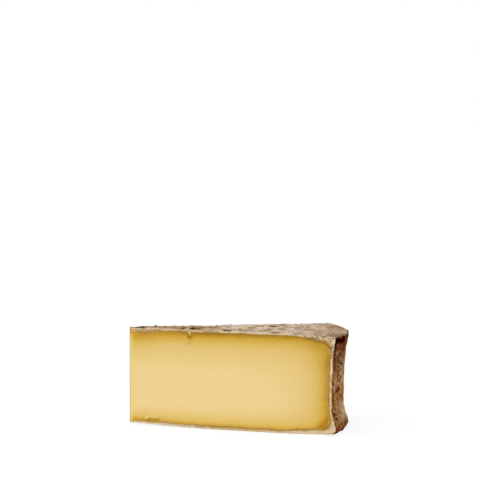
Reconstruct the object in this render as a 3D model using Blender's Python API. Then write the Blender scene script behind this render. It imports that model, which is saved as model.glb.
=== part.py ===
"""A wedge of hard mountain cheese: an eighth of a wheel, cut to its axis, with a hollow heel.

The wedge lies on the wheel's flat face. Its tip, the wheel's axis, points to -X and its heel
faces +X. The cut face with the slit in it looks to -Y. Rind and paste are one solid.
"""

import math

import bmesh
import bpy
from mathutils import Matrix, Vector, noise

# The wheel and the share of it that was cut out
WHEEL_RADIUS = 0.300
WHEEL_HEIGHT = 0.1346
HALF_ANGLE = math.radians(21.4)

# Top face: it falls to the rim and is crowned in between
TOP_FALL = 0.0036
TOP_CROWN = 0.00055

# Bottom face: flat between two shares of the radius, turned up at the tip and at the rim
REST_FROM = 0.40
REST_TO = 0.72
TIP_RISE = 0.0032
RIM_RISE = 0.0022
RISE_POWER = 1.5

# Heel: hollow between an upper lip and a lower lip that stands back a little in the middle
HEEL_HOLLOW = 0.0070
UPPER_EASE = 0.024
UPPER_EASE_AT_CUTS = 0.038
LOWER_SET_BACK = 0.0006
LOWER_EASE_FROM = 0.005
LOWER_EASE_TO = 0.034
UPPER_LIP_ROUND = 0.0042
LOWER_LIP_ROUND = 0.0048
LIP_UNEVEN = 0.30

# Relief of the rind: where it is read in the noise, depth and length of its swells and lumps
RELIEF_PLACE = Vector((2.453, 2.004, 1.299))
SWELL_DEPTH = 0.0011
SWELL_LENGTH = 0.055
LUMP_DEPTH = 0.0010
LUMP_LENGTH = 0.017
CLOTH_FOLD_DEPTH = 0.0011
CLOTH_FOLD_LENGTH = 0.011
CLOTH_FOLD_DRAW = 4.5
RELIEF_FADE = 0.010

# Slit under the top rind and the nick near the bottom, both in the near cut face
SLIT_FROM_TIP = 0.0922
SLIT_LENGTH = 0.0150
SLIT_WIDTH = 0.0052
SLIT_DEPTH = 0.0015
SLIT_LEAN = math.radians(11)
NICK_FROM_TIP = 0.0420
NICK_HEIGHT = 0.0096
NICK_LENGTH = 0.0150
NICK_WIDTH = 0.0034
NICK_DEPTH = 0.0007
NICK_LEAN = math.radians(82)
CUTTER_OVERSHOOT = 0.004

# A slit's shape: its width at the lower end and at its deepest, and its depth at the lower end
SLIT_LOW_WIDTH = 0.60
SLIT_INNER_WIDTH = 0.50
SLIT_LOW_DEPTH = 0.25

# Net of the surface: steps from tip to heel and from bottom to top, drawn closer at the edges
RADIAL_STEPS = 58
HEIGHT_STEPS = 22
RADIAL_CROWDING = 1.4
HEIGHT_CROWDING = 0.75
FLAT_WITHIN = math.radians(0.4)
NEAR_CUT_PLANE = 0.999
UPRIGHT_WITHIN = 0.1

PASTE_COLOUR = (0.85, 0.64, 0.28, 1.0)
RIND_COLOUR = (0.42, 0.29, 0.17, 1.0)
PASTE_ROUGHNESS = 0.55
RIND_ROUGHNESS = 0.85


def clear_scene():
    for thing in list(bpy.data.objects):
        bpy.data.objects.remove(thing, do_unlink=True)


def smoothstep(low, high, value):
    share = min(max((value - low) / (high - low), 0.0), 1.0)
    return share * share * (3.0 - 2.0 * share)


def top_height(share):
    """Height of the top face at a share of the radius."""
    return WHEEL_HEIGHT - TOP_FALL * share + 4.0 * TOP_CROWN * share * (1.0 - share)


def bottom_height(share):
    """Height of the bottom face at a share of the radius: zero where the wedge rests."""
    to_tip = max(0.0, (REST_FROM - share) / REST_FROM)
    to_rim = max(0.0, (share - REST_TO) / (1.0 - REST_TO))
    return TIP_RISE * to_tip**RISE_POWER + RIM_RISE * to_rim**RISE_POWER


def heel_reach(height, across):
    """Radius of the heel at a height, across being -1 to 1 from one cut to the other."""
    ease = UPPER_EASE + (UPPER_EASE_AT_CUTS - UPPER_EASE) * across**2
    below_lip = max(0.0, top_height(1.0) - UPPER_LIP_ROUND - height)
    upper = HEEL_HOLLOW * (1.0 - math.exp(-below_lip / ease))
    lower = LOWER_SET_BACK * (1.0 - across**2)
    hollow = lower + (upper - lower) * smoothstep(LOWER_EASE_FROM, LOWER_EASE_TO, height)
    return WHEEL_RADIUS - hollow


def round_corner(from_heel, from_face, radius):
    """Draws the square corner between the heel and a face in to a quarter round."""
    a = max(0.0, 1.0 - from_heel / radius)
    b = max(0.0, 1.0 - from_face / radius)
    if a == 0.0 or b == 0.0:
        return from_heel, from_face
    pull = max(a, b) / math.hypot(a, b)
    return radius * (1.0 - a * pull), radius * (1.0 - b * pull)


def rind_relief(place):
    """How far the rind stands out at a place on the wheel, as swells with lumps on them."""
    read_at = place + RELIEF_PLACE
    swell = SWELL_DEPTH * noise.noise(read_at / SWELL_LENGTH)
    lump = LUMP_DEPTH * noise.noise(read_at / LUMP_LENGTH)
    return swell + lump


def cloth_folds(place):
    """Upright folds on the heel, left by the cloth that the wheel was pressed in."""
    drawn_up = Vector((place.x, place.y, place.z / CLOTH_FOLD_DRAW))
    return CLOTH_FOLD_DEPTH * noise.noise(drawn_up / CLOTH_FOLD_LENGTH)


def on_wheel(share, across, rise):
    """Place on or in the wedge at shares of its radius, its width and its height."""
    angle = across * HALF_ANGLE
    heading = Vector((math.cos(angle), math.sin(angle), 0.0))
    from_heel = (1.0 - share) * WHEEL_RADIUS
    uneven = 1.0 + LIP_UNEVEN * noise.noise(heading * WHEEL_RADIUS / LUMP_LENGTH)
    if rise > 0.5:
        from_face = (1.0 - rise) * WHEEL_HEIGHT
        from_heel, from_face = round_corner(from_heel, from_face, UPPER_LIP_ROUND * uneven)
        rise = 1.0 - from_face / WHEEL_HEIGHT
    else:
        from_face = rise * WHEEL_HEIGHT
        from_heel, from_face = round_corner(from_heel, from_face, LOWER_LIP_ROUND * uneven)
        rise = from_face / WHEEL_HEIGHT
    share = 1.0 - from_heel / WHEEL_RADIUS
    low = bottom_height(share)
    high = top_height(share)
    height = low + (high - low) * rise
    reach = heel_reach(height, across)
    place = heading * share * reach + Vector((0.0, 0.0, height))

    at_top = smoothstep(RELIEF_FADE, 0.0, high - height)
    at_bottom = smoothstep(RELIEF_FADE, 0.0, height - low) * smoothstep(0.0, TIP_RISE, low)
    at_heel = smoothstep(RELIEF_FADE, 0.0, from_heel)
    relief = rind_relief(place)
    outward = heading * at_heel * (relief + cloth_folds(place))
    upward = Vector((0.0, 0.0, relief * (at_top - at_bottom)))
    return place + outward + upward


def wedge_net():
    """A triangle cut into an even net and drawn up into a prism with its walls cut into rows."""
    net = bmesh.new()
    corners = [net.verts.new(place) for place in ((0, 0, 0), (1, 1, 0), (1, -1, 0))]
    net.faces.new(corners)
    bmesh.ops.subdivide_edges(net, edges=net.edges[:], cuts=RADIAL_STEPS - 1, use_grid_fill=True)
    raised = bmesh.ops.extrude_face_region(net, geom=net.faces[:], use_keep_orig=True)
    top = [item for item in raised["geom"] if isinstance(item, bmesh.types.BMVert)]
    bmesh.ops.translate(net, verts=top, vec=(0, 0, 1))
    uprights = [e for e in net.edges if e.verts[0].co.z != e.verts[1].co.z]
    bmesh.ops.subdivide_edges(net, edges=uprights, cuts=HEIGHT_STEPS - 1, use_grid_fill=True)
    return net


def crowded(vert):
    """Shares of radius, width and height of a net point, with the rows closer at the edges."""
    share = 1.0 - (1.0 - vert.co.x) ** RADIAL_CROWDING
    across = vert.co.y / vert.co.x if vert.co.x > 0.0 else 0.0
    turn = 2.0 * math.pi
    rise = vert.co.z - HEIGHT_CROWDING * math.sin(turn * vert.co.z) / turn
    return share, min(max(across, -1.0), 1.0), min(max(rise, 0.0), 1.0)


def is_cut_face(face):
    """True for a face in one of the two planes that the knife made."""
    centre = face.calc_center_median()
    angle = abs(math.atan2(centre.y, centre.x))
    return angle > NEAR_CUT_PLANE * HALF_ANGLE and abs(face.normal.z) < UPRIGHT_WITHIN


def material(name, colour, roughness):
    made = bpy.data.materials.new(name)
    made.use_nodes = True
    shader = made.node_tree.nodes["Principled BSDF"]
    shader.inputs["Base Color"].default_value = colour
    shader.inputs["Roughness"].default_value = roughness
    shader.inputs["Metallic"].default_value = 0.0
    made.diffuse_color = colour
    return made


def make_wedge():
    net = wedge_net()
    for vert in net.verts:
        vert.co = on_wheel(*crowded(vert))
    bmesh.ops.recalc_face_normals(net, faces=net.faces[:])
    bmesh.ops.dissolve_limit(net, angle_limit=FLAT_WITHIN, verts=net.verts[:], edges=net.edges[:])
    for face in net.faces:
        face.material_index = 0 if is_cut_face(face) else 1
    bmesh.ops.triangulate(net, faces=net.faces[:])
    mesh = bpy.data.meshes.new("cheese")
    net.to_mesh(mesh)
    net.free()
    mesh.materials.append(material("paste", PASTE_COLOUR, PASTE_ROUGHNESS))
    mesh.materials.append(material("rind", RIND_COLOUR, RIND_ROUGHNESS))
    wedge = bpy.data.objects.new("cheese", mesh)
    bpy.context.scene.collection.objects.link(wedge)
    return wedge


def near_cut_frame(from_tip, height, lean):
    """Axes at a point of the near cut face: X along it, Y into the cheese, Z up, then leaned."""
    place = Vector((from_tip * math.cos(HALF_ANGLE), -from_tip * math.sin(HALF_ANGLE), height))
    turn = Matrix.Rotation(-HALF_ANGLE, 4, "Z")
    return Matrix.Translation(place) @ turn @ Matrix.Rotation(lean, 4, "Y")


def add_cutter(name, frame, length, width, depth):
    """A tapered blade that hangs down from its frame: broad and deep above, thin and shallow below."""
    blade = bmesh.new()
    bmesh.ops.create_cube(blade, size=1.0)
    for vert in blade.verts:
        upper = vert.co.z > 0.0
        inner = vert.co.y > 0.0
        breadth = width if upper else SLIT_LOW_WIDTH * width
        inward = depth if upper else SLIT_LOW_DEPTH * depth
        vert.co.x *= breadth * (SLIT_INNER_WIDTH if inner else 1.0)
        vert.co.y = inward if inner else -CUTTER_OVERSHOOT
        vert.co.z = CUTTER_OVERSHOOT if upper else -length
    mesh = bpy.data.meshes.new(name)
    blade.to_mesh(mesh)
    blade.free()
    cutter = bpy.data.objects.new(name, mesh)
    bpy.context.scene.collection.objects.link(cutter)
    cutter.matrix_world = frame
    cutter.hide_render = True
    cutter.display_type = "WIRE"
    return cutter


def cut(target, cutter):
    change = target.modifiers.new(cutter.name, "BOOLEAN")
    change.operation = "DIFFERENCE"
    change.solver = "EXACT"
    change.object = cutter


def centre_on_base(things):
    """Moves all so that the wedge's box stands centred on the origin."""
    corners = [vert.co for vert in things[0].data.vertices]
    middle = [(min(c[i] for c in corners) + max(c[i] for c in corners)) / 2.0 for i in (0, 1)]
    base = min(c.z for c in corners)
    shift = Matrix.Translation((-middle[0], -middle[1], -base))
    for thing in things:
        thing.data.transform(thing.matrix_world)
        thing.matrix_world = Matrix.Identity(4)
        thing.data.transform(shift)


def main():
    clear_scene()
    wedge = make_wedge()
    slit_top = top_height(SLIT_FROM_TIP / WHEEL_RADIUS)
    slit_frame = near_cut_frame(SLIT_FROM_TIP, slit_top, SLIT_LEAN)
    slit = add_cutter("slit", slit_frame, SLIT_LENGTH, SLIT_WIDTH, SLIT_DEPTH)
    nick_frame = near_cut_frame(NICK_FROM_TIP, NICK_HEIGHT, NICK_LEAN)
    nick = add_cutter("nick", nick_frame, NICK_LENGTH, NICK_WIDTH, NICK_DEPTH)
    centre_on_base([wedge, slit, nick])
    cut(wedge, slit)
    cut(wedge, nick)


main()
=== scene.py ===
"""Looks of a wedge of hard mountain cheese: a core of pale paste and a shell of crusted rind that
meet where the knife laid them open, crystals in the cut faces and crumbs on the rind.
"""

import math
import random

import bmesh
import bpy
from mathutils import Matrix, Vector, noise


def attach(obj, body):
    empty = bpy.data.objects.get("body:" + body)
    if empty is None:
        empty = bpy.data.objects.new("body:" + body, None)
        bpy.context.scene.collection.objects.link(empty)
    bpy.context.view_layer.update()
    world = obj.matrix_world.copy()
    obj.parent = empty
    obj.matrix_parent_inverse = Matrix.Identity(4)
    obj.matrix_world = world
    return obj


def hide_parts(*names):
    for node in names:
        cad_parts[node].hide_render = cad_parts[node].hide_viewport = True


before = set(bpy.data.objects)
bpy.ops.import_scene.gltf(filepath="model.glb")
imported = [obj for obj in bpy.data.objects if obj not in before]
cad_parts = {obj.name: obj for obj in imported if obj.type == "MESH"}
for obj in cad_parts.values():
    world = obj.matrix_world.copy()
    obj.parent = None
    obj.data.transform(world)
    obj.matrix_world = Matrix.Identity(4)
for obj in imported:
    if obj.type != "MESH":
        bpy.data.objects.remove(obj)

bl_info = {
    "name": "Cheese wedge",
    "version": (1, 0, 0),
    "blender": (4, 5, 0),
    "location": "3D View > Sidebar > Cheese",
    "description": "Builds a cut wedge of hard cheese with its rind, crystals and crumbs",
    "category": "Add Mesh",
}

NODE = "cheese"
BODY = "root"
MM = 0.001

# The wheel and the share of it that was cut out, as in the frame
WHEEL_RADIUS = 0.3
WHEEL_HEIGHT = 0.1346
HALF_ANGLE = math.radians(21.4)
TOP_FALL = 0.0036
TOP_CROWN = 0.00055
REST_FROM = 0.4
REST_TO = 0.72
TIP_RISE = 0.0032
RIM_RISE = 0.0022
RISE_POWER = 1.5
HEEL_HOLLOW = 0.007
UPPER_EASE = 0.024
UPPER_EASE_AT_CUTS = 0.038
LOWER_SET_BACK = 0.0006
LOWER_EASE_FROM = 0.005
LOWER_EASE_TO = 0.034
UPPER_LIP_ROUND = 0.0042
LOWER_LIP_ROUND = 0.0048
LIP_UNEVEN = 0.3
RELIEF_PLACE = Vector((2.453, 2.004, 1.299))
SWELL_DEPTH = 0.0011
SWELL_LENGTH = 0.055
LUMP_DEPTH = 0.001
LUMP_LENGTH = 0.017
CLOTH_FOLD_DEPTH = 0.0011
CLOTH_FOLD_LENGTH = 0.011
CLOTH_FOLD_DRAW = 4.5
RELIEF_FADE = 0.01
FRACTAL = (0.8, 2.2, 3)

# Slit under the top rind and the nick near the bottom, both in the near cut face. A size is the
# length, the width and the depth
SLIT_FROM_TIP = 0.0922
SLIT_SIZE = (0.015, 0.0052, 0.0015)
SLIT_LEAN = math.radians(11)
NICK_FROM_TIP = 0.042
NICK_HEIGHT = 0.0096
NICK_SIZE = (0.015, 0.0034, 0.0007)
NICK_LEAN = math.radians(82)
# Where the painted shade beside the nick lies
NICK_SHADE_FROM_TIP = 0.031
NICK_SHADE_HEIGHT = 0.0072
CUTTER_OVERSHOOT = 0.004
SLIT_LOW_WIDTH = 0.6
SLIT_INNER_WIDTH = 0.5
SLIT_LOW_DEPTH = 0.25

# Rind as the knife shows it: thickness under each face, and the rounder corners of the paste
TOP_RIND = 0.0048
TOP_RIND_THINNEST = 0.0012
THINNEST_AT = 0.82
TOP_RIND_AT_HEEL = 0.0096
AT_HEEL_FROM = 0.835
TOP_RIND_AT_TIP = 0.0046
AT_TIP_TO = 0.19
BASE_RIND = 0.0042
BASE_RIND_AT_RIM = 0.0028
RIM_RIND_FROM = 0.74
RIM_RIND_TO = 0.94
BASE_RIND_LESS_AT_TIP = 0.0016
LESS_AT_TIP_TO = 0.08
HEEL_RIND = 0.0028
HEEL_FOLLOW = 0.2
HEEL_RIND_UNEVEN = 0.0014
HEEL_RIND_FINE = 0.001
HEEL_RIND_FINE_LENGTH = 0.0055
RIND_UNEVEN = 0.24
RIND_UNEVEN_LENGTH = 0.02
PASTE_TOP_ROUND = 0.0055
PASTE_BASE_ROUND = 0.013

# How the amber of the paste fades away from the rind
DEPTH_POWER = 1.6
SHALLOWEST = 0.0001
BASE_FADE = 3.0
HEEL_FADE = 1.05
NOOK_SPAN = 0.022
UPPER_NOOK_SPAN = 0.028
HEEL_BLUR = 0.002

# Fine relief that only the looks need
CRUST_DEPTH = 0.0008
CRUST_LENGTH = 0.0065
CRUST_FINE_DEPTH = 0.0005
CRUST_FINE_LENGTH = 0.003
PIT_DEPTH = 0.0016
PIT_LENGTH = 0.011
PIT_ABOVE = 0.36
PIT_PLACE = Vector((7.3, 0.0, 0.0))
EDGE_WEAR = 0.0002
EDGE_CHIPS = 0.0016
EDGE_CHIP_LENGTH = 0.006
CHIP_PLACE = Vector((0.0, 3.1, 0.0))
EDGE_WEAR_SPAN = 0.0026
KNIFE_WAVE_DEPTH = 0.0004
KNIFE_WAVE_LENGTH = 0.06
KNIFE_FADE = 0.01
ON_CUT_FROM = 0.99999
BAND_ROUGH_DEPTH = 0.0011
BAND_ROUGH_LENGTH = 0.0035

# Net of the surface, drawn closer at the edges
RADIAL_STEPS = 150
HEIGHT_STEPS = 56
RIND_LAYERS = 4
RADIAL_CROWDING = 1.4
HEIGHT_CROWDING = 0.75

# The photograph's camera
CAMERA_AIM = (0.00115, 0.0027, 0.0672)
CAMERA_DISTANCE = 2.7
CAMERA_RISE = math.radians(6.31)
CAMERA_PITCH = math.radians(2.34)
CAMERA_TURN = math.radians(1.02)
LENS = 146.97

# Light, and what it adds to the colours of what it falls on
LIGHT_GAIN = 1.17
GLOSS_GAIN = 0.014
DARKEST = 0.0006
WHITE = (1.0, 1.0, 1.0, 1.0)
FLOOR_TONE = (0.14, 0.14, 0.14, 1.0)
FLOOR_GLOW = 0.85
FLOOR_RADIUS = 30.0
KEY_PLACE = (-1.1, -1.7, 1.9)
KEY_ANGLE = math.radians(28)


def colour(red, green, blue):
    """A surface's own linear colour, from the screen values that it shows on the stage."""
    shares = [value / 255.0 for value in (red, green, blue)]
    linear = [s / 12.92 if s <= 0.04045 else ((s + 0.055) / 1.055) ** 2.4 for s in shares]
    return tuple(max(DARKEST, (value - GLOSS_GAIN) / LIGHT_GAIN) for value in linear)


def amount(kind, name, about, default, low, high, **more):
    """A setting of a number within limits."""
    return kind(name=name, description=about, default=default, min=low, max=high, **more)


def tint(name, about, *values):
    """A colour setting with a default given in screen values."""
    return bpy.props.FloatVectorProperty(
        name=name, description=about, subtype="COLOR", min=0.0, max=1.0, default=colour(*values)
    )


class WedgeSettings(bpy.types.PropertyGroup):
    """Sizes and colours that a user of the wedge would change"""

    rind_thickness: amount(
        bpy.props.FloatProperty, "Rind thickness", "Thickness of the rind under the top face",
        TOP_RIND, 0.001, 0.012, subtype="DISTANCE",
    )
    crust_depth: amount(
        bpy.props.FloatProperty, "Crust relief", "Height of the rind's fine crags",
        CRUST_DEPTH, 0.0, 0.003, subtype="DISTANCE",
    )
    crystals: amount(bpy.props.IntProperty, "Crystals", "Crystals scattered in each cut face", 46, 0, 400)
    crumbs: amount(bpy.props.IntProperty, "Crumbs", "Crumbs that cling to the rind", 150, 0, 600)
    paste: tint("Paste", "Middle of the cut face", 239, 211, 147)
    butter: tint("Outer paste", "Cut face a few centimetres from the rind", 229, 198, 124)
    amber: tint("Amber edge", "Cut face just inside the rind", 201, 160, 56)
    under_rind: tint("Under the rind", "Dark line where the paste meets the rind", 160, 121, 46)
    cut_rind: tint("Cut rind", "The rind's cut edge", 220, 194, 156)
    top_pale: tint("Pale rind", "Dry bloom on the rind's faces", 220, 200, 176)
    top_brown: tint("Brown rind", "Smeared crust on the rind's faces", 150, 118, 88)
    olive: tint("Olive mould", "Patches of mould on the rind", 146, 140, 92)
    # Pits and cracks: dark crust, darkened further as painted shade in their hollows
    pit: tint("Pits", "Pits and cracks of the rind", 62, 42, 30)
    heel_brown: tint("Heel brown", "Main colour of the heel", 160, 112, 62)
    heel_red: tint("Heel red", "Moist reddish crust on the heel", 118, 68, 28)
    heel_pale: tint("Heel bloom", "Dry tan bloom on the heel", 196, 166, 122)
    # The tone under the lip is dark moist crust, darkened further as painted shade of the overhanging lip
    lip_shade: tint("Under the lip", "Dark moist crust under the upper lip", 54, 14, 8)
    key_strength: amount(
        bpy.props.FloatProperty, "Key light", "Strength of the light from the front left", 0.8, 0.0, 20.0
    )


def settings():
    return bpy.context.scene.cheese_wedge


def smoothstep(low, high, value):
    share = min(max((value - low) / (high - low), 0.0), 1.0)
    return share * share * (3.0 - 2.0 * share)


def heading_at(across):
    """Level direction away from the tip, across being -1 to 1 from one cut to the other."""
    angle = across * HALF_ANGLE
    return Vector((math.cos(angle), math.sin(angle), 0.0))


def top_height(share):
    """Height of the top face at a share of the radius."""
    return WHEEL_HEIGHT - TOP_FALL * share + 4.0 * TOP_CROWN * share * (1.0 - share)


def bottom_height(share):
    """Height of the bottom face at a share of the radius: zero where the wedge rests."""
    to_tip = max(0.0, (REST_FROM - share) / REST_FROM)
    to_rim = max(0.0, (share - REST_TO) / (1.0 - REST_TO))
    return TIP_RISE * to_tip**RISE_POWER + RIM_RISE * to_rim**RISE_POWER


def heel_reach(height, across):
    """Radius of the heel at a height and a share of the width."""
    ease = UPPER_EASE + (UPPER_EASE_AT_CUTS - UPPER_EASE) * across**2
    below_lip = max(0.0, top_height(1.0) - UPPER_LIP_ROUND - height)
    upper = HEEL_HOLLOW * (1.0 - math.exp(-below_lip / ease))
    lower = LOWER_SET_BACK * (1.0 - across**2)
    hollow = lower + (upper - lower) * smoothstep(LOWER_EASE_FROM, LOWER_EASE_TO, height)
    return WHEEL_RADIUS - hollow


def round_corner(from_heel, from_face, radius):
    """Draws the square corner between the heel and a face in to a quarter round."""
    a = max(0.0, 1.0 - from_heel / radius)
    b = max(0.0, 1.0 - from_face / radius)
    if a == 0.0 or b == 0.0:
        return from_heel, from_face
    pull = max(a, b) / math.hypot(a, b)
    return radius * (1.0 - a * pull), radius * (1.0 - b * pull)


def rind_relief(place):
    """How far the rind stands out at a place, as swells with lumps on them."""
    read_at = place + RELIEF_PLACE
    swell = SWELL_DEPTH * noise.noise(read_at / SWELL_LENGTH)
    lump = LUMP_DEPTH * noise.noise(read_at / LUMP_LENGTH)
    return swell + lump


def cloth_folds(place):
    """Upright folds on the heel, left by the cloth that the wheel was pressed in."""
    drawn_up = Vector((place.x, place.y, place.z / CLOTH_FOLD_DRAW))
    return CLOTH_FOLD_DEPTH * noise.noise(drawn_up / CLOTH_FOLD_LENGTH)


def crust(place):
    """Fine crags of the rind, with pits where a coarser pattern peaks."""
    crags = settings().crust_depth * noise.noise(place / CRUST_LENGTH)
    fine = CRUST_FINE_DEPTH * noise.noise(place / CRUST_FINE_LENGTH)
    pits = PIT_DEPTH * smoothstep(PIT_ABOVE, 1.0, noise.noise(place / PIT_LENGTH + PIT_PLACE))
    return crags + fine - pits


def drawn_in(share, across, rise, upper_round, lower_round):
    """Heading, and shares of radius and height after the two corners of the heel are rounded."""
    heading = heading_at(across)
    upper = rise > 0.5
    uneven = 1.0 + LIP_UNEVEN * noise.noise(heading * WHEEL_RADIUS / LUMP_LENGTH)
    radius = (upper_round if upper else lower_round) * uneven
    from_face = (1.0 - rise if upper else rise) * WHEEL_HEIGHT
    from_heel, from_face = round_corner((1.0 - share) * WHEEL_RADIUS, from_face, radius)
    rise = from_face / WHEEL_HEIGHT
    return heading, 1.0 - from_heel / WHEEL_RADIUS, 1.0 - rise if upper else rise


def on_rind(share, across, rise):
    """Place on the outside of the wedge at shares of its radius, its width and its height."""
    heading, share, rise = drawn_in(share, across, rise, UPPER_LIP_ROUND, LOWER_LIP_ROUND)
    low = bottom_height(share)
    high = top_height(share)
    height = low + (high - low) * rise
    place = heading * share * heel_reach(height, across) + Vector((0, 0, height))

    from_heel = (1.0 - share) * WHEEL_RADIUS
    at_top = smoothstep(RELIEF_FADE, 0.0, high - height)
    at_bottom = smoothstep(RELIEF_FADE, 0.0, height - low) * smoothstep(0.0, TIP_RISE, low)
    at_heel = smoothstep(RELIEF_FADE, 0.0, from_heel)
    relief = rind_relief(place)
    fine = crust(place) - edge_wear(place, share, across)
    outward = heading * at_heel * (relief + cloth_folds(place) + fine)
    upward = (relief + fine) * at_top - (relief + min(fine, 0.0)) * at_bottom
    return place + outward + Vector((0, 0, upward))


def edge_wear(place, share, across):
    """How far the rind is worn down where it meets a cut face, with a chip here and there."""
    from_cut = (1.0 - abs(across)) * HALF_ANGLE * share * WHEEL_RADIUS
    chip = EDGE_CHIPS * max(0.0, noise.noise(place / EDGE_CHIP_LENGTH + CHIP_PLACE))
    return (EDGE_WEAR + chip) * smoothstep(EDGE_WEAR_SPAN, 0.0, from_cut)


def uneven_rind(place):
    return 1.0 + RIND_UNEVEN * noise.fractal(place / RIND_UNEVEN_LENGTH, *FRACTAL)


def top_rind(share):
    """Thickness of the rind under the top: thinner towards the rim, thick in the corner and the tip."""
    at_tip = settings().rind_thickness
    thinned = at_tip + (TOP_RIND_THINNEST - at_tip) * min(share / THINNEST_AT, 1.0)
    slope = max(0.0, (share - AT_HEEL_FROM) / (1.0 - AT_HEEL_FROM))
    return thinned + TOP_RIND_AT_HEEL * slope + TOP_RIND_AT_TIP * smoothstep(AT_TIP_TO, 0.0, share)


def base_rind(share):
    """Thickness of the rind over the bottom: a little more near the rim and less at the tip."""
    more = BASE_RIND_AT_RIM * smoothstep(RIM_RIND_FROM, RIM_RIND_TO, share)
    return BASE_RIND + more - BASE_RIND_LESS_AT_TIP * smoothstep(LESS_AT_TIP_TO, 0.0, share)


def paste_limits(share, across, height):
    """Lowest and highest point and radius of the paste at a share of the radius and a height."""
    heading = heading_at(across)
    flat = heading * share * WHEEL_RADIUS
    low = bottom_height(share) + base_rind(share) * uneven_rind(flat)
    high = top_height(share) - top_rind(share) * uneven_rind(flat + Vector((0, 0, WHEEL_HEIGHT)))
    upright = heading * WHEEL_RADIUS + Vector((0, 0, height))
    deepest = WHEEL_RADIUS - HEEL_HOLLOW
    follow = HEEL_FOLLOW * (heel_reach(height, across) - deepest)
    uneven = HEEL_RIND_UNEVEN * noise.fractal(upright / RIND_UNEVEN_LENGTH, *FRACTAL)
    uneven += HEEL_RIND_FINE * noise.noise(upright / HEEL_RIND_FINE_LENGTH)
    return low, high, deepest - HEEL_RIND + follow - uneven


def on_paste(share, across, rise):
    """Place on the boundary of the paste, or on its cut faces, at the same shares as the rind."""
    heading, share, rise = drawn_in(share, across, rise, PASTE_TOP_ROUND, PASTE_BASE_ROUND)
    height = bottom_height(share) + (top_height(share) - bottom_height(share)) * rise
    low, high, reach = paste_limits(share, across, height)
    height = low + (high - low) * rise
    return heading * share * reach + Vector((0, 0, height))


def cut_relief(place, across, roughness):
    """Shift of a point on a cut face along the face's normal, from the knife and the crumb."""
    if abs(across) < ON_CUT_FROM:
        return Vector()
    side = math.copysign(1.0, across)
    normal = Vector((-math.sin(HALF_ANGLE), side * math.cos(HALF_ANGLE), 0.0))
    from_tip = place.xy.length
    wave = KNIFE_WAVE_DEPTH * noise.noise(place / KNIFE_WAVE_LENGTH)
    crumb = BAND_ROUGH_DEPTH * roughness * noise.noise(place / BAND_ROUGH_LENGTH)
    return normal * (wave + crumb) * smoothstep(0.0, KNIFE_FADE, from_tip)


def crowded(point):
    """Shares of radius, width and height of a net point, with the rows closer at the edges."""
    share = 1.0 - (1.0 - point.x) ** RADIAL_CROWDING
    across = point.y / point.x if point.x > 0.0 else 0.0
    turn = 2.0 * math.pi
    rise = point.z - HEIGHT_CROWDING * math.sin(turn * point.z) / turn
    return share, min(max(across, -1.0), 1.0), min(max(rise, 0.0), 1.0)


def wedge_net():
    """An even net of a triangle, drawn up into a prism with rows of faces for walls."""
    net = bmesh.new()
    corners = [net.verts.new(place) for place in ((0, 0, 0), (1, 1, 0), (1, -1, 0))]
    net.faces.new(corners)
    bmesh.ops.subdivide_edges(net, edges=net.edges[:], cuts=RADIAL_STEPS - 1, use_grid_fill=True)
    raised = bmesh.ops.extrude_face_region(net, geom=net.faces[:], use_keep_orig=True)
    top = [item for item in raised["geom"] if isinstance(item, bmesh.types.BMVert)]
    bmesh.ops.translate(net, verts=top, vec=(0, 0, 1))
    uprights = [e for e in net.edges if e.verts[0].co.z != e.verts[1].co.z]
    bmesh.ops.subdivide_edges(net, edges=uprights, cuts=HEIGHT_STEPS - 1, use_grid_fill=True)
    bmesh.ops.recalc_face_normals(net, faces=net.faces[:])
    return net


def shaped_paste():
    """The core of paste: its two cut faces show, and the rest lies under the rind."""
    net = wedge_net()
    for vert in net.verts:
        share, across, rise = crowded(vert.co)
        place = on_paste(share, across, rise)
        vert.co = place + cut_relief(place, across, 0.0)
    bmesh.ops.recalc_face_normals(net, faces=net.faces[:])
    return net


def shaped_rind():
    """The shell of rind over the top, the bottom and the heel, open where the knife cut it."""
    net = wedge_net()
    knife_made = [face for face in net.faces if face.normal.x < -0.1]
    bmesh.ops.delete(net, geom=knife_made, context="FACES")
    sunk = net.verts.layers.float.new("sunk")
    lined = bmesh.ops.extrude_face_region(net, geom=net.faces[:], use_keep_orig=True)
    for item in lined["geom"]:
        if isinstance(item, bmesh.types.BMVert):
            item[sunk] = 1.0
    across_rind = [e for e in net.edges if e.verts[0][sunk] != e.verts[1][sunk]]
    bmesh.ops.subdivide_edges(net, edges=across_rind, cuts=RIND_LAYERS - 1, use_grid_fill=True)
    for vert in net.verts:
        share, across, rise = crowded(vert.co)
        outer = on_rind(share, across, rise)
        inner = on_paste(share, across, rise)
        place = outer * (1.0 - vert[sunk]) + inner * vert[sunk]
        roughness = 4.0 * vert[sunk] * (1.0 - vert[sunk])
        vert.co = place + cut_relief(place, across, roughness)
    bmesh.ops.recalc_face_normals(net, faces=net.faces[:])
    return net


def near_cut_frame(from_tip, height, lean):
    """Axes at a point of the near cut face: X along it, Y into the cheese, Z up, then leaned."""
    place = heading_at(-1.0) * from_tip + Vector((0, 0, height))
    turn = Matrix.Rotation(-HALF_ANGLE, 4, "Z")
    return Matrix.Translation(place) @ turn @ Matrix.Rotation(lean, 4, "Y")


def blade(name, frame_of, length, width, depth):
    """A blade that hangs down from its frame: broad and deep above, thin and shallow below."""
    net = bmesh.new()
    bmesh.ops.create_cube(net, size=1.0)
    for vert in net.verts:
        upper = vert.co.z > 0.0
        inner = vert.co.y > 0.0
        breadth = width if upper else SLIT_LOW_WIDTH * width
        inward = depth if upper else SLIT_LOW_DEPTH * depth
        vert.co.x *= breadth * (SLIT_INNER_WIDTH if inner else 1.0)
        vert.co.y = inward if inner else -CUTTER_OVERSHOOT
        vert.co.z = CUTTER_OVERSHOOT if upper else -length
    bmesh.ops.transform(net, matrix=frame_of, verts=net.verts[:])
    return linked(name, net)


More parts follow.
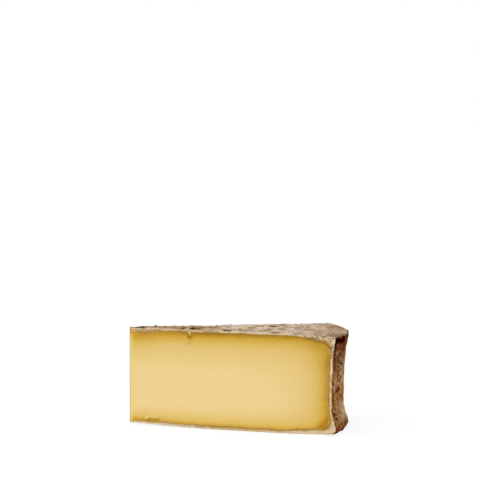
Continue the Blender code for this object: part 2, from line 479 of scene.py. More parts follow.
def linked(name, net):
    """An object at the origin that holds the net, which is freed."""
    mesh = bpy.data.meshes.new(name)
    net.to_mesh(mesh)
    net.free()
    made = bpy.data.objects.new(name, mesh)
    bpy.context.scene.collection.objects.link(made)
    return made


def slit_frames():
    """Frames of the slit under the top rind and of the nick near the bottom."""
    slit_top = top_height(SLIT_FROM_TIP / WHEEL_RADIUS)
    slit = near_cut_frame(SLIT_FROM_TIP, slit_top, SLIT_LEAN)
    nick = near_cut_frame(NICK_FROM_TIP, NICK_HEIGHT, NICK_LEAN)
    return slit, nick


def cut_slits(target):
    """Cuts the slit and the nick from a piece and leaves the result in its mesh."""
    slit, nick = slit_frames()
    blades = [
        blade("slit_blade", slit, *SLIT_SIZE),
        blade("nick_blade", nick, *NICK_SIZE),
    ]
    for cutter in blades:
        change = target.modifiers.new(cutter.name, "BOOLEAN")
        change.operation = "DIFFERENCE"
        change.solver = "EXACT"
        change.object = cutter
    graph = bpy.context.evaluated_depsgraph_get()
    result = bpy.data.meshes.new_from_object(target.evaluated_get(graph))
    target.modifiers.clear()
    target.data = result
    for cutter in blades:
        bpy.data.objects.remove(cutter, do_unlink=True)


def wheel_shares(place):
    """Share of the radius and share of the width of a place."""
    from_axis = place.xy.length
    across = math.atan2(place.y, place.x) / HALF_ANGLE if from_axis > MM else 0.0
    across = min(max(across, -1.0), 1.0)
    return min(from_axis / heel_reach(place.z, across), 1.0), across


def joint_depth(*depths):
    """One depth from several: close to the least, and less where two are alike."""
    total = sum(max(depth, SHALLOWEST) ** -DEPTH_POWER for depth in depths)
    return total ** (-1.0 / DEPTH_POWER)


def corner_depths(from_heel, from_face, radius):
    """Distances to the heel and a face of the paste, with their common corner rounded."""
    a, b = radius - from_heel, radius - from_face
    if a <= 0.0 or b <= 0.0:
        return from_heel, from_face
    nearest = radius - math.hypot(a, b)
    return min(from_heel, nearest + max(b - a, 0.0)), min(from_face, nearest + max(a - b, 0.0))


def paste_marks(place):
    """How deep a point of the paste lies under the rind, and how near a corner and the tip."""
    share, across = wheel_shares(place)
    low, high, reach = paste_limits(share, across, place.z)
    from_axis = place.xy.length
    from_heel = reach - from_axis
    under_top, over_base = high - place.z, place.z - low
    upper_side, top_side = corner_depths(from_heel, under_top, PASTE_TOP_ROUND)
    lower_side, base_side = corner_depths(from_heel, over_base, PASTE_BASE_ROUND)
    heel_side = min(upper_side, lower_side)
    inside = max(from_heel, 0.0)
    return {
        "depth": joint_depth(top_side, BASE_FADE * base_side, HEEL_FADE * heel_side) / MM,
        "nook": math.exp(-(max(over_base, 0.0) + inside) / NOOK_SPAN),
        "upper_nook": math.exp(-(max(under_top, 0.0) + inside) / UPPER_NOOK_SPAN),
        "from_tip": from_axis / MM,
    }


def rind_marks(place):
    """Which part of the rind a point is on, how near a cut and the tip, and how craggy it is."""
    share, across = wheel_shares(place)
    from_heel = heel_reach(place.z, across) - place.xy.length
    from_face = min(top_height(share) - place.z, place.z - bottom_height(share))
    return {
        "crag": crust(place) / MM,
        "from_tip": share * WHEEL_RADIUS / MM,
        "heel": smoothstep(-HEEL_BLUR, HEEL_BLUR, from_face - from_heel),
        "rise": place.z / WHEEL_HEIGHT,
        "from_cut": (1.0 - abs(across)) * HALF_ANGLE * share * WHEEL_RADIUS / MM,
        "across": across,
    }


def write_marks(mesh, marks_at):
    """Writes the marks of each point, by name, as attributes of the mesh."""
    marks = [marks_at(vert.co) for vert in mesh.vertices]
    for name in marks[0]:
        made = mesh.attributes.new(name, "FLOAT", "POINT")
        made.data.foreach_set("value", [mark[name] for mark in marks])


def shift_to_frame():
    """From the wheel's axis, which is the tip's upright edge, to the frame's origin."""
    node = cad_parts[NODE]
    tip = min((node.matrix_world @ vert.co for vert in node.data.vertices), key=lambda p: p.x)
    return Matrix.Translation((tip.x, tip.y, 0.0))


def settle(piece, finish):
    """Moves a finished piece from the wheel's axis to the frame and ties it to the wedge."""
    piece.data.transform(shift_to_frame())
    piece.data.materials.clear()
    piece.data.materials.append(finish)
    for face in piece.data.polygons:
        face.use_smooth = True
    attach(piece, BODY)


def add_part(name, net, marks_at, finish):
    """Adds the paste or the rind, with the slit and the nick, in the place of the node."""
    piece = linked(name, net)
    cut_slits(piece)
    write_marks(piece.data, marks_at)
    settle(piece, finish)
    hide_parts(NODE)


class Flow:
    """A socket of a material's nodes. A Python sum of flows adds the nodes for it."""

    def __init__(self, tree, socket=None):
        self.tree = tree
        self.socket = socket

    def plug(self, target, value):
        """Sets a socket, or links a flow into it."""
        if isinstance(value, Flow):
            self.tree.links.new(value.socket, target)
        else:
            target.default_value = value

    def node(self, kind, setup=None, inputs=None, output=0):
        """Adds a node: its settings first, then the values or links of its sockets."""
        made = self.tree.nodes.new(kind)
        for name, value in (setup or {}).items():
            setattr(made, name, value)
        for name, value in (inputs or {}).items():
            self.plug(made.inputs[name], value)
        return Flow(self.tree, made.outputs[output])

    def math(self, operation, first, second=0.0):
        return self.node("ShaderNodeMath", {"operation": operation}, {0: first, 1: second})

    def __add__(self, other):
        return self.math("ADD", self, other)

    def __sub__(self, other):
        return self.math("SUBTRACT", self, other)

    def __mul__(self, other):
        return self.math("MULTIPLY", self, other)

    def __truediv__(self, other):
        return self.math("DIVIDE", self, other)

    def __rsub__(self, other):
        return self.math("SUBTRACT", other, self)

    __radd__ = __add__
    __rmul__ = __mul__

    def attributes(self, *names):
        kind = "ShaderNodeAttribute"
        return [self.node(kind, {"attribute_name": name}, output="Fac") for name in names]

    def place(self):
        return self.node("ShaderNodeTexCoord", output="Object")

    def stretched(self, vector, scale):
        return self.node("ShaderNodeMapping", inputs={"Vector": vector, "Scale": scale})

    def parts(self, vector):
        """The three numbers of a vector."""
        made = self.node("ShaderNodeSeparateXYZ", inputs={"Vector": vector})
        return [Flow(self.tree, part) for part in made.socket.node.outputs]

    def within(self, place, frame_of):
        """Millimetres along the three axes of a frame that is given from the wheel's axis."""
        moved = shift_to_frame() @ frame_of
        inputs = {"Vector": place, "Location": moved.translation, "Rotation": moved.to_euler()}
        local = self.node("ShaderNodeMapping", {"vector_type": "TEXTURE"}, inputs)
        return [part * (1.0 / MM) for part in self.parts(local)]

    def noise(self, vector, length, detail=3.0, roughness=0.55, distortion=0.0):
        """Soft noise of 0 to 1 whose swells are about a length apart."""
        inputs = {"Vector": vector, "Scale": 1.0 / length, "Detail": detail}
        inputs.update({"Roughness": roughness, "Distortion": distortion})
        return self.node("ShaderNodeTexNoise", inputs=inputs)

    def above(self, low, high):
        """0 below the low value and 1 above the high one, with a soft rise."""
        inputs = {"Value": self, "From Min": low, "From Max": high}
        return self.node("ShaderNodeMapRange", {"interpolation_type": "SMOOTHSTEP"}, inputs)

    def below(self, low, high):
        return 1.0 - self.above(low, high)

    def hump(self, low, high, end, past):
        """1 from the high value to the end, with a soft rise before and a soft fall after."""
        return self.above(low, high) * self.below(end, past)

    def blend(self, base, over, share):
        """The base colour with the other one laid over it by a share."""
        inputs = {"Factor": share, 6: rgba(base), 7: rgba(over)}
        return self.node("ShaderNodeMix", {"data_type": "RGBA"}, inputs, output=2)

    def layered(self, base, *layers):
        """The base colour with others laid over it in turn, each by its share."""
        for over, share in layers:
            base = self.blend(base, over, share)
        return base

    def ramp(self, value, stops, span=1.0):
        """A colour by a value of 0 to the span, from (value, colour) stops."""
        made = self.node("ShaderNodeValToRGB", inputs={"Fac": value / span}, output="Color")
        elements = made.socket.node.color_ramp.elements
        elements.remove(elements[-1])
        for index, (at, shown) in enumerate(stops):
            stop = elements[0] if index == 0 else elements.new(at / span)
            stop.position = at / span
            stop.color = rgba(shown)
        return made

    def bump(self, height, distance, strength):
        inputs = {"Height": height, "Distance": distance, "Strength": strength}
        return self.node("ShaderNodeBump", inputs=inputs, output="Normal")

    def dress(self, finish, sockets):
        """Gives the material's shader its values and flows, and returns the material."""
        shader = self.tree.nodes["Principled BSDF"]
        for name, value in sockets.items():
            self.plug(shader.inputs[name], value)
        return finish


def rgba(value):
    """What a colour socket takes: a tuple is in screen values, and a setting is linear already."""
    if isinstance(value, Flow):
        return value
    linear = colour(*value) if isinstance(value, tuple) else value
    return (*linear, 1.0)


def new_finish(name):
    """A material, and a flow to hang its nodes on."""
    finish = bpy.data.materials.new(name)
    finish.use_nodes = True
    return finish, Flow(finish.node_tree)


def slit_shade_mask(flow, place, half_width, start, end):
    """1 along a stretch of the slit, in millimetres down from its top, and 0 away from it: where the
    slit's painted shade lies.
    """
    along, inward, up = flow.within(place, slit_frames()[0])
    wobble = (flow.noise(place, 0.005, 2) - 0.5) * half_width
    aside = flow.math("ABSOLUTE", along + wobble)
    down = up * -1
    near_face = flow.math("ABSOLUTE", inward).below(6, 9)
    stretch = down.hump(start - 1.2, start + 1.2, end - 2.5, end + 2.5)
    return aside.below(0.5 * half_width, half_width) * stretch * near_face


def uneven_spot(flow, place, frame_of, *half_sizes):
    """1 within a ragged ellipse about a frame's origin. Its half size is 0 on the axis through it."""
    measured = zip(flow.within(place, frame_of), half_sizes)
    one, other = [part / size for part, size in measured if size]
    off = flow.math("SQRT", one * one + other * other)
    ragged = off + (flow.noise(place, 0.005, 4, 0.6) - 0.5) * 1.4
    return ragged.below(0.55, 1.1)


def paste_finish():
    """Cut paste: pale in the middle, amber towards the rind, with a dark line where they meet, and
    painted shade at the slit and the nick.
    """
    look = settings()
    finish, flow = new_finish("cut_paste")
    place = flow.place()
    height = flow.parts(place)[2]
    deep, nook, upper_nook, from_tip = flow.attributes("depth", "nook", "upper_nook", "from_tip")
    depth = deep + (flow.noise(place, 0.018) - 0.5) * 3
    stops = [
        (0, look.under_rind),
        (1.4, (166, 123, 37)),
        (2.7, (175, 132, 38)),
        (4.1, (187, 143, 41)),
        (5.5, look.amber),
        (7, (207, 166, 67)),
        (8.3, (210, 170, 74)),
        (9.8, (214, 176, 81)),
        (12.5, (219, 183, 91)),
        (15.5, (223, 189, 104)),
        (19, (227, 194, 116)),
        (24, look.butter),
        (34, (234, 204, 133)),
        (46, look.paste),
    ]
    warm = flow.noise(place, 0.02).above(0.52, 0.66)
    brown = flow.noise(place, 0.009).above(0.54, 0.66)
    near_rind = flow.math("MAXIMUM", depth.below(1, 9), height.below(0.0085, 0.0155))
    thin_end = from_tip.below(50, 85) * height.above(0.1, 0.12)
    drag = flow.noise(flow.stretched(place, (0.35, 0.35, 4)), 0.02, 4).above(0.4, 0.7)
    specks = flow.noise(place, 0.0034, 2).above(0.69, 0.79)
    faded = upper_nook.above(0.42, 0.75) * depth.below(0.5, 4.5)
    patchy = flow.noise(place, 0.005).above(0.36, 0.6)
    nick_shade = near_cut_frame(NICK_SHADE_FROM_TIP, NICK_SHADE_HEIGHT, 0)
    base = flow.layered(
        flow.ramp(depth, stops, 50),
        ((216, 168, 46), flow.math("MINIMUM", nook * 1.1, 1)),
        ((184, 142, 44), upper_nook * 0.9),
        ((226, 182, 74), height.below(0.006, 0.036) * 0.3),
        ((190, 154, 88), height.below(0.08, 0.105) * depth.below(0.5, 9) * 0.55),
        ((208, 154, 62), warm * depth.below(3, 14) * 0.5),
        ((150, 114, 44), brown * depth.below(1.5, 6) * 0.45),
        ((214, 154, 38), from_tip.below(5, 24) * near_rind * 0.7),
        ((240, 213, 122), from_tip.below(1, 7) * 0.75),
        ((216, 170, 70), thin_end * depth.below(3, 12) * 0.35),
        (look.butter, drag * 0.1),
        ((247, 228, 178), specks * 0.25),
        ((176, 123, 4), nook.above(0.26, 0.52) * depth.above(0, 2) * 0.9),
        ((202, 174, 116), faded * patchy * 0.75),
        # Painted shade in and below the slit, and in the dent under it
        ((180, 130, 38), slit_shade_mask(flow, place, 5.8, 3, 13) * 0.85),
        ((206, 168, 92), slit_shade_mask(flow, place, 5, 16.5, 21) * 0.6),
        # Painted shade beside the nick
        ((188, 142, 34), uneven_spot(flow, place, nick_shade, 17, 0, 5) * 0.85),
    )
    grain = flow.noise(place, 0.0022) * 0.55 + flow.noise(place, 0.011, 2)
    return flow.dress(finish, {
        "Base Color": base,
        "Roughness": 0.48 + flow.noise(place, 0.009, 4) * 0.16,
        "Normal": flow.bump(grain, 0.0005, 0.45),
        "Subsurface Weight": 0.08,
        "Subsurface Radius": (1, 0.6, 0.25),
        "Subsurface Scale": 0.003,
        "Specular IOR Level": 0.15,
    })


# Patches of the top face: share of radius, share of width, half sizes in millimetres, tone, strength
SHOWN_PATCHES = (
    (0.25, -0.32, 3.6, 12, (84, 60, 38), 0.9),
    (0.292, -0.34, 5.2, 12.5, (40, 26, 14), 0.96),
    (0.317, -0.3, 6.5, 12, (110, 88, 40), 0.8),
    (0.334, 0.25, 4, 12, (92, 80, 40), 0.85),
    (0.354, -0.85, 11, 8, (214, 158, 130), 0.75),
    # A black pit: dark crust with painted shade in the hole
    (0.457, -0.7, 4.4, 11.5, (30, 18, 10), 0.97),
    (0.48, -0.76, 3, 9, (100, 70, 46), 0.85),
    (0.529, 0.4, 6, 14, (206, 196, 150), 0.6),
    (0.56, 0.15, 7, 14, (142, 134, 78), 0.75),
    (0.569, -0.8, 12, 10, (208, 172, 164), 0.6),
    (0.668, 0.54, 4.6, 12, (88, 58, 34), 0.92),
    (0.64, -0.38, 7, 7, (128, 94, 72), 0.75),
    (0.691, -0.49, 9, 13, (208, 164, 148), 0.5),
    (0.761, -0.31, 12, 20, (200, 186, 168), 0.6),
    (0.864, -0.26, 14, 20, (178, 134, 102), 0.5),
    (0.945, -0.55, 4, 12, (118, 96, 74), 0.65),
)


def top_spot(flow, place, share, across, wide, deep):
    """1 in a patch of the top face."""
    frame_of = Matrix.Translation(on_rind(share, across, 1))
    return uneven_spot(flow, place, frame_of, wide, deep, 0)


def face_colours(flow, place):
    """Top and bottom of the wheel: dried bloom over brown crust, with pits and mould, painted shade in
    the crags' hollows, and painted highlight on their tops and on a patch of the rim.
    """
    look = settings()
    crag, from_tip, across = flow.attributes("crag", "from_tip", "across")
    wiped = flow.stretched(place, (0.7, 0.45, 1))
    patches = flow.noise(wiped, 0.012, 5, 0.6, 0.5)
    broad = flow.noise(wiped, 0.026, 4, 0.6, 0.4)
    pink = flow.noise(place, 0.036)
    mould = flow.noise(place, 0.034, 4, 0.6, 1.2)
    grain = flow.noise(wiped, 0.0052, 4, 0.65)
    # A pale patch on the rim near the heel: pale crust and painted highlight
    pale_rim_highlight = from_tip.above(288, 295) * across.hump(-0.55, -0.35, -0.05, 0.15)
    far_rim = from_tip.above(291, 296) * across.above(0, 0.3)
    return flow.layered(
        look.top_brown,
        (look.top_pale, patches.above(0.4, 0.52)),
        ((146, 118, 88), broad.above(0.54, 0.64) * 0.55),
        ((226, 210, 188), broad.below(0.38, 0.47) * 0.55),
        ((210, 168, 148), pink.above(0.5, 0.62) * 0.5),
        ((160, 130, 102), from_tip.above(225, 285) * 0.45),
        ((160, 124, 68), from_tip.below(90, 150) * 0.62),
        (look.olive, mould.above(0.6, 0.7) * 0.6),
        # Painted shade in the hollows of the crags, painted highlight on their tops
        ((112, 84, 58), crag.below(-1.2, -0.1) * 0.65),
        ((230, 214, 190), crag.above(0.3, 0.95) * 0.6),
        ((124, 96, 72), grain.below(0.34, 0.47) * 0.72),
        ((236, 222, 202), grain.above(0.55, 0.68) * 0.62),
        *((tone, top_spot(flow, place, *spot) * strength) for *spot, tone, strength in SHOWN_PATCHES),
        ((128, 100, 76), from_tip.above(278, 294) * 0.4),
        ((206, 184, 162), pale_rim_highlight * 0.6),
        ((104, 76, 54), far_rim * 0.75),
    )


# Marks of the heel: share of width, height, half sizes in millimetres, tone, strength
HEEL_MARKS = (
    (-0.86, 0.1187, 6, 3.6, (132, 88, 72), 0.9),
    (-0.85, 0.067, 9, 12, (170, 140, 118), 0.55),
    (-0.93, 0.09, 5, 11, (110, 58, 18), 0.6),
    (-0.95, 0.046, 9, 18, (130, 68, 32), 0.75),
    (-0.88, 0.0275, 3.6, 2.6, (64, 40, 14), 0.9),
    (-0.86, 0.0208, 3.6, 2.2, (60, 36, 14), 0.9),
    (-0.91, 0.024, 3, 2, (72, 44, 18), 0.8),
    (-0.97, 0.0115, 9, 5, (88, 34, 8), 0.9),
)


def heel_spot(flow, place, facing, height, wide, high):
    """1 in a mark of the heel."""
    centre = heading_at(facing) * heel_reach(height, facing) + Vector((0, 0, height))
    return uneven_spot(flow, place, Matrix.Translation(centre), 0, wide, high)


def heel_colours(flow, place):
    """The heel: reddish-brown crust with dried tan bloom, paler towards the far side with painted sheen,
    dark and moist under the lip with painted shade there, and painted shade along the bottom edge.
    """
    look = settings()
    rise, across, crag = flow.attributes("rise", "across", "crag")
    drawn_out = flow.stretched(place, (1, 0.4, 1))
    blotches = flow.noise(drawn_out, 0.008, 5, 0.7)
    weave = flow.noise(drawn_out, 0.0042, 4, 0.72)
    streak = flow.noise(flow.stretched(place, (1, 0.5, 0.55)), 0.005, 3, 0.6)
    upper = rise + (flow.noise(place, 0.016) - 0.5) * 0.1
    drift = across + (flow.noise(place, 0.04, 4) - 0.5) * 2.4
    # Paler, greyer crust over the heel away from the near cut and below the lip: dried bloom and painted
    # sheen
    bloom_and_sheen = drift.hump(-0.75, 0.15, 0.8, 1.7) * upper.below(0.7, 0.86)
    # A pale band low on the heel, growing towards the far side: bloom and painted sheen
    low_bloom_and_sheen = upper.hump(0.08, 0.16, 0.22, 0.34)
    half_up = upper.above(0.5, 0.62)
    half_across = across.above(-0.6, 0)

    # Painted shade under the overhanging upper lip, reaching lower near the near cut
    sway = 0.1 * (flow.noise(place, 0.055, 2) - 0.5) * across.above(-0.7, -0.2)
    lowered = sway - across.above(-0.95, -0.55) * 0.045
    shade = (upper + lowered).above(0.78, 0.86) * upper.below(0.945, 0.975)
    # Lighter spots in the lower part of the painted shade
    lit = flow.noise(place, 0.007, 4, 0.65).above(0.42, 0.58) * upper.below(0.875, 0.915)
    # Paler spots that lighten the painted shade away from the near cut
    paler_shade = flow.noise(place, 0.006, 4, 0.65).above(0.4, 0.58) * across.above(-0.6, -0.42)

    lower = rise + (flow.noise(place, 0.012) - 0.5) * 0.08
    on_lip = lower.below(0.08, 0.15)
    moist = 0.75 - across.above(-0.93, -0.82) * 0.3
    return flow.layered(
        look.heel_red,
        (look.heel_brown, blotches.above(0.38, 0.49)),
        (look.heel_pale, blotches.above(0.54, 0.62) * 0.75),
        ((98, 54, 10), upper.above(0.58, 0.72) * 0.66),
        ((186, 170, 152), bloom_and_sheen * 0.8),
        ((206, 180, 142), low_bloom_and_sheen * across.above(-0.95, -0.2) * 0.65),
        ((80, 34, 6), weave.below(0.38, 0.46) * (0.9 - half_across * 0.5)),
        ((236, 206, 164), weave.above(0.57, 0.64) * 0.78),
        ((62, 28, 6), streak.above(0.54, 0.6) * half_up * (0.75 - across.above(-0.4, 0.2) * 0.45)),
        ((166, 118, 58), streak.below(0.38, 0.44) * half_up * 0.6),
        # Painted shade in the hollows of the crags
        ((80, 44, 16), crag.below(-1.2, -0.3) * (0.6 - half_across * 0.25)),
        # Painted shade under the lip over the dark moist crust, nearly black by the near cut
        (flow.blend(look.lip_shade, (134, 76, 56), lit), shade * 0.97),
        ((34, 4, 2), shade * across.below(-0.97, -0.88) * 0.85),
        ((124, 90, 72), shade * paler_shade * (0.85 - across.above(0, 0.3) * 0.45)),
        *((tone, heel_spot(flow, place, *spot) * strength) for *spot, tone, strength in HEEL_MARKS),
        ((118, 56, 16), lower.below(0.06, 0.14) * moist),
        ((56, 22, 6), streak.above(0.53, 0.6) * on_lip * 0.6),
        ((176, 108, 66), streak.below(0.4, 0.47) * on_lip * (moist - 0.1)),
        # Painted shade along the bottom edge, where the lower lip turns under
        ((60, 28, 12), lower.below(0.02, 0.055) * 0.8),
    )


# Tones of the rind's cut edge under the top: from and to, in millimetres from the tip
TOP_EDGE_TONES = (
    (90, 112, (224, 160, 128)),
    (112, 134, (150, 132, 76)),
    (134, 156, (236, 212, 152)),
)


def edge_colours(flow, place, height):
    """The rind's cut edge: pale outside and tan towards the paste, with flecks and stains."""
    sunk, from_tip = flow.attributes("sunk", "from_tip")
    layer = sunk + (flow.noise(place, 0.006) - 0.5) * 0.35
    stops = [
        (0, (226, 202, 170)),
        (0.32, settings().cut_rind),
        (0.55, (205, 177, 135)),
        (0.75, (186, 154, 102)),
        (0.9, (164, 128, 58)),
        (1, settings().under_rind),
    ]
    flecks = flow.noise(place, 0.0042, 4, 0.65)
    crumbly = flow.noise(place, 0.006, 4, 0.7)
    corner = height.above(0.1, 0.112) * from_tip.above(240, 262)
    thin = from_tip.below(60, 150) * height.above(0.09, 0.11)
    high_up = height.above(0.1, 0.12)
    outer = high_up * layer.below(0.5, 1) * 0.6
    # A painted highlight on the pale outer part of the cut edge, 78 to 106 mm up
    highlight_band = height.hump(0.078, 0.088, 0.1, 0.106)
    at_base = height.below(0.006, 0.014)
    stained = at_base * from_tip.hump(35, 55, 120, 150)
    golden = at_base * from_tip.hump(105, 130, 190, 215)
    return flow.layered(
        flow.ramp(layer, stops),
        ((240, 230, 212), flecks.above(0.54, 0.64) * layer.below(0.5, 0.95) * 0.75),
        ((140, 106, 68), flecks.below(0.36, 0.46) * 0.6),
        # Crumbs in the corner by the heel: dark gaps and pale flecks, painted as shade and highlight
        ((136, 104, 60), corner * crumbly.below(0.42, 0.5) * 0.85),
        ((236, 230, 222), corner * crumbly.above(0.55, 0.62) * layer.below(0.2, 0.7) * 0.8),
        ((172, 136, 80), thin * layer.above(0.15, 0.5) * 0.7),
        ((100, 74, 48), high_up * from_tip.below(20, 28) * layer.below(0.05, 0.25) * 0.7),
        ((224, 178, 80), high_up * from_tip.below(5, 13) * layer.above(0.2, 0.6) * 0.75),
        ((208, 160, 84), high_up * from_tip.below(50, 85) * layer.above(0.6, 0.9) * 0.6),
        *(
            (tone, from_tip.hump(start - 3, start + 3, end - 3, end + 3) * outer)
            for start, end, tone in TOP_EDGE_TONES
        ),
        ((246, 236, 218), highlight_band * layer.below(0.25, 0.6) * 0.6),
        ((118, 90, 58), stained * flecks.below(0.42, 0.5) * 0.48),
        ((228, 202, 158), at_base * layer.below(0.45, 0.85) * 0.45),
        ((236, 216, 184), at_base * from_tip.below(90, 120) * 0.28),
        ((184, 148, 62), golden * 0.35),
    )


def rind_finish():
    """The whole rind: its faces, the heel and the pale edge that the knife laid open."""
    finish, flow = new_finish("crusted_rind")
    place = flow.place()
    height = flow.parts(place)[2]
    names = ("heel", "across", "from_tip", "from_cut", "sunk")
    heel, across, from_tip, from_cut, sunk = flow.attributes(*names)
    # Painted shade along the bottom edge near the heel, where the lower lip turns under
    low_lip_shade = height.below(0.002, 0.01) * from_tip.above(284, 291)
    holes = flow.noise(place, 0.0085, 3, 0.6, 0.5).above(0.69, 0.76)
    # Band along the cut edges: worn crumbly rind by the near cut, and the ground of painted shade by the
    # far cut
    worn = (from_cut + (flow.noise(place, 0.005) - 0.5) * 5).below(0.2, 3)
    # Painted shade along the top's far edge near the tip, and over the top at the tip
    far_edge_shade = worn * across.above(0, 0.5) * from_tip.below(45, 75)
    at_tip = from_tip.below(18, 30) * height.above(0.1, 0.12)
    base = flow.layered(
        face_colours(flow, place),
        (heel_colours(flow, place), heel),
        ((60, 28, 12), low_lip_shade * 0.85),
        # Pits: dark crust with painted shade in their hollows
        (settings().pit, holes * 0.85),
        ((216, 194, 164), worn * across.below(-0.5, 0.5) * (0.65 - heel * 0.6)),
        ((70, 50, 34), flow.math("MAXIMUM", far_edge_shade, at_tip) * 0.85),
        (edge_colours(flow, place, height), sunk.above(0.01, 0.1)),
    )
    moist = flow.noise(place, 0.014).above(0.5, 0.7)
    crags = flow.noise(place, 0.0042, 5, 0.65) + flow.noise(place, 0.0013) * 0.4
    return flow.dress(finish, {
        "Base Color": base,
        "Roughness": 0.88 - moist * 0.16,
        "Normal": flow.bump(crags - holes * 0.6, 0.0012, 0.8),
        "Specular IOR Level": 0,
    })


def crystal_finish():
    """Chalky crystals of the aged paste."""
    finish, flow = new_finish("crystals")
    share = flow.noise(flow.place(), 0.004, 2.0).above(0.4, 0.6)
    base = flow.blend((250, 238, 200), (243, 224, 168), share)
    return flow.dress(finish, {"Base Color": base, "Roughness": 0.5, "Specular IOR Level": 0.2})


def crumb_finish():
    """Crumbs of crust and slivers of paste, from dark brown to cream by their tone."""
    finish, flow = new_finish("crumbs")
    place = flow.place()
    tone = flow.attributes("tone")[0] + (flow.noise(place, 0.003, 2.0) - 0.5) * 0.12
    stops = [
        (0.0, (56, 40, 28)),
        (0.3, (118, 88, 60)),
        (0.6, (178, 150, 116)),
        (0.85, (226, 208, 176)),
        (1.0, (240, 208, 140)),
    ]
    return flow.dress(finish, {
        "Base Color": flow.ramp(tone, stops),
        "Roughness": 0.8,
        "Normal": flow.bump(flow.noise(place, 0.0012), 0.0004, 0.6),
        "Specular IOR Level": 0.12,
    })


def floor_finish():
    """A white floor lit from below, so hardly any shadow falls on it."""
    finish, flow = new_finish("floor")
    return flow.dress(finish, {
        "Base Color": FLOOR_TONE,
        "Roughness": 0.9,
        "Specular IOR Level": 0.0,
        "Emission Color": WHITE,
        "Emission Strength": FLOOR_GLOW,
    })


def cut_point(from_tip, height, side):
    """A point on a cut face, and the face's outward direction. The near face's side is -1."""
    outward = Vector((-math.sin(HALF_ANGLE), side * math.cos(HALF_ANGLE), 0.0))
    place = heading_at(side) * from_tip + Vector((0, 0, height))
    return place + cut_relief(place, side, 0.0), outward


def add_lump(net, place, size, draw, squash=1.0):
    """An uneven lump with a few dozen faces, flattened and turned by the draw."""
    turn = Matrix.Rotation(draw.uniform(0.0, 2.0 * math.pi), 4, "Z")
    turn = turn @ Matrix.Rotation(draw.uniform(-0.5, 0.5), 4, "X")
    stretch = (draw.uniform(0.7, 1.4), draw.uniform(0.7, 1.3), squash * draw.uniform(0.6, 1.0))
    shape = Matrix.Diagonal((*stretch, 1.0))
    made = bmesh.ops.create_icosphere(
        net, subdivisions=1, radius=size, matrix=Matrix.Translation(place) @ turn @ shape
    )
    for vert in made["verts"]:
        vert.co += (vert.co - place) * draw.uniform(-0.28, 0.28)
    return made["verts"]


def add_sliver(net, start, end, width, thickness, draw):
    """A curl of paste that the knife left on the near face, from one point of it to another."""
    first, outward = cut_point(*start, -1.0)
    last, _ = cut_point(*end, -1.0)
    along = last - first
    upright = along.normalized()
    aside = outward.cross(upright)
    axes = Matrix((aside * width / 2.0, upright * along.length / 2.0, outward * thickness)).transposed()
    shape = Matrix.Translation((first + last) / 2.0) @ axes.to_4x4()
    made = bmesh.ops.create_icosphere(net, subdivisions=2, radius=1.0, matrix=shape)
    for vert in made["verts"]:
        curl = aside * width * 0.35 * noise.noise(vert.co / 0.003)
        vert.co += curl + outward * thickness * draw.uniform(-0.2, 0.2)
    return made["verts"]


# Crystals that the photograph shows in the near face: from the tip, height and size, in millimetres
SHOWN_CRYSTALS = (
    (235, 31, 1.1),
    (217, 21, 1),
    (139.5, 13.5, 0.9),
    (36, 16, 0.8),
    (267, 43, 0.9),
    (197, 116, 0.8),
    (67, 18, 0.8),
)


def shaped_crystals():
    draw = random.Random(11)
    net = bmesh.new()
    for from_tip, height, size in SHOWN_CRYSTALS:
        place, outward = cut_point(from_tip * MM, height * MM, -1.0)
        add_lump(net, place - outward * size * MM * 0.45, size * MM, draw)
    for side in (-1.0, 1.0):
        for _ in range(settings().crystals):
            from_tip = WHEEL_RADIUS * (0.08 + 0.8 * math.sqrt(draw.random()))
            height = WHEEL_HEIGHT * draw.uniform(0.07, 0.9)
            size = draw.uniform(0.25, 0.6) * MM
            place, outward = cut_point(from_tip, height, side)
            add_lump(net, place - outward * size * 0.5, size, draw)
    return net


# Crumbs along the far edge of the top: share of radius, share of width, size and tone
SHOWN_CRUMBS = (
    (0.086, 0.8, 0.0011, 0.1),
    (0.123, 0.8, 0.0016, 0.00),
    (0.196, 0.85, 0.001, 0.3),
    (0.219, 0.8, 0.001, 0.35),
    (0.255, 0.85, 0.0011, 0.1),
    (0.417, 0.84, 0.0016, 0.3),
    (0.485, 0.85, 0.0011, 0.5),
    (0.801, 0.84, 0.0011, 0.2),
    (0.897, 0.84, 0.0013, 0.1),
    (0.951, 0.82, 0.0014, 0.1),
)

# Slivers of paste left in the slit and along the nick: ends on the near face, width and thickness
SLIVERS = (
    ((0.0887, 0.1326), (0.0917, 0.1258), 0.0022, 0.001),
    ((0.0215, 0.0092), (0.03, 0.0128), 0.0026, 0.0006),
    ((0.0296, 0.0128), (0.0372, 0.0184), 0.0016, 0.0003),
)


def shaped_crumbs():
    draw = random.Random(23)
    net = bmesh.new()
    tone = net.verts.layers.float.new("tone")
    for share, across, size, shown in SHOWN_CRUMBS:
        place = on_rind(share, across, 1.0) + Vector((0, 0, size * 0.25))
        for vert in add_lump(net, place, size, draw, 0.8):
            vert[tone] = shown
    for start, end, width, thickness in SLIVERS:
        for vert in add_sliver(net, start, end, width, thickness, draw):
            vert[tone] = 1.0
    for _ in range(settings().crumbs):
        share = math.sqrt(draw.uniform(0.01, 0.98))
        across = draw.uniform(-0.98, 0.98)
        size = draw.uniform(0.35, 0.9) * MM
        drawn = draw.uniform(0.1, 0.9)
        place = on_rind(share, across, 1.0) + Vector((0, 0, size * 0.1))
        for vert in add_lump(net, place, size, draw, 0.6):
            vert[tone] = drawn
    return net


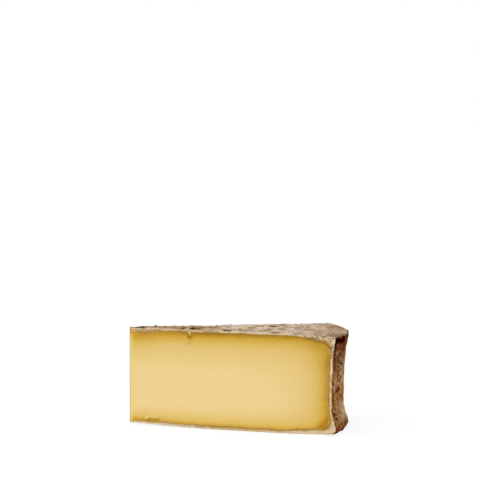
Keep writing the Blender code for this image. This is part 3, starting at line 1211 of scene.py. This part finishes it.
def add_key_light():
    """A broad soft light from the front left that lights the floor evenly."""
    lamp = bpy.data.lights.new("key", "SUN")
    lamp.angle = KEY_ANGLE
    lamp.energy = settings().key_strength
    made = bpy.data.objects.new("key", lamp)
    bpy.context.scene.collection.objects.link(made)
    made.location = KEY_PLACE
    made.rotation_euler = Vector(KEY_PLACE).to_track_quat("Z", "Y").to_euler()


def add_camera():
    """The photograph's camera: a long lens a little above the wedge."""
    lens = bpy.data.cameras.new("photo_camera")
    lens.lens = LENS
    made = bpy.data.objects.new("photo_camera", lens)
    bpy.context.scene.collection.objects.link(made)
    back = Vector((math.sin(CAMERA_TURN), -math.cos(CAMERA_TURN), 0.0))
    rise = Vector((0, 0, math.sin(CAMERA_RISE)))
    made.location = Vector(CAMERA_AIM) + (back * math.cos(CAMERA_RISE) + rise) * CAMERA_DISTANCE
    made.rotation_euler = (math.radians(90.0) - CAMERA_PITCH, 0.0, CAMERA_TURN)
    bpy.context.scene.camera = made


class CHEESE_OT_stage(bpy.types.Operator):
    """Adds the floor, the light, the white surroundings and the photograph's camera"""

    bl_idname = "cheese.add_stage"
    bl_label = "Stage"

    def execute(self, context):
        net = bmesh.new()
        bmesh.ops.create_circle(net, cap_ends=True, segments=64, radius=FLOOR_RADIUS)
        floor = linked("floor", net)
        floor.data.materials.append(floor_finish())
        world = bpy.data.worlds.new("surroundings")
        world.use_nodes = True
        sky = world.node_tree.nodes["Background"]
        sky.inputs["Color"].default_value = WHITE
        context.scene.world = world
        add_key_light()
        context.scene.view_settings.view_transform = "Standard"
        add_camera()
        return {"FINISHED"}


class CHEESE_OT_paste(bpy.types.Operator):
    """Adds the core of paste with its two cut faces, the slit and the nick"""

    bl_idname = "cheese.add_paste"
    bl_label = "Paste"

    def execute(self, context):
        add_part("paste", shaped_paste(), paste_marks, paste_finish())
        return {"FINISHED"}


class CHEESE_OT_rind(bpy.types.Operator):
    """Adds the shell of rind over the top, the bottom and the heel"""

    bl_idname = "cheese.add_rind"
    bl_label = "Rind"

    def execute(self, context):
        add_part("rind", shaped_rind(), rind_marks, rind_finish())
        return {"FINISHED"}


class CHEESE_OT_crystals(bpy.types.Operator):
    """Adds the pale crystals in the cut faces"""

    bl_idname = "cheese.add_crystals"
    bl_label = "Crystals"

    def execute(self, context):
        settle(linked("crystals", shaped_crystals()), crystal_finish())
        return {"FINISHED"}


class CHEESE_OT_crumbs(bpy.types.Operator):
    """Adds the crumbs that cling to the rind and the slivers of paste"""

    bl_idname = "cheese.add_crumbs"
    bl_label = "Crumbs"

    def execute(self, context):
        settle(linked("crumbs", shaped_crumbs()), crumb_finish())
        return {"FINISHED"}


class CHEESE_PT_wedge(bpy.types.Panel):
    """Settings of the wedge and buttons that build its pieces"""

    bl_idname = "CHEESE_PT_wedge"
    bl_label = "Cheese wedge"
    bl_space_type = "VIEW_3D"
    bl_region_type = "UI"
    bl_category = "Cheese"

    def draw(self, context):
        look = settings()
        for name in look.bl_rna.properties.keys():
            if name not in ("rna_type", "name"):
                self.layout.prop(look, name)
        for operator in OPERATORS:
            self.layout.operator(operator.bl_idname)


OPERATORS = (CHEESE_OT_stage, CHEESE_OT_paste, CHEESE_OT_rind, CHEESE_OT_crystals, CHEESE_OT_crumbs)
CLASSES = (WedgeSettings, *OPERATORS, CHEESE_PT_wedge)


def register():
    for kind in CLASSES:
        bpy.utils.register_class(kind)
    bpy.types.Scene.cheese_wedge = bpy.props.PointerProperty(type=WedgeSettings)


def unregister():
    del bpy.types.Scene.cheese_wedge
    for kind in reversed(CLASSES):
        bpy.utils.unregister_class(kind)


def main():
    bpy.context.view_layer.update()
    register()
    bpy.ops.cheese.add_stage()
    bpy.ops.cheese.add_paste()
    bpy.ops.cheese.add_rind()
    bpy.ops.cheese.add_crystals()
    bpy.ops.cheese.add_crumbs()


if __name__ == "__main__":
    main()
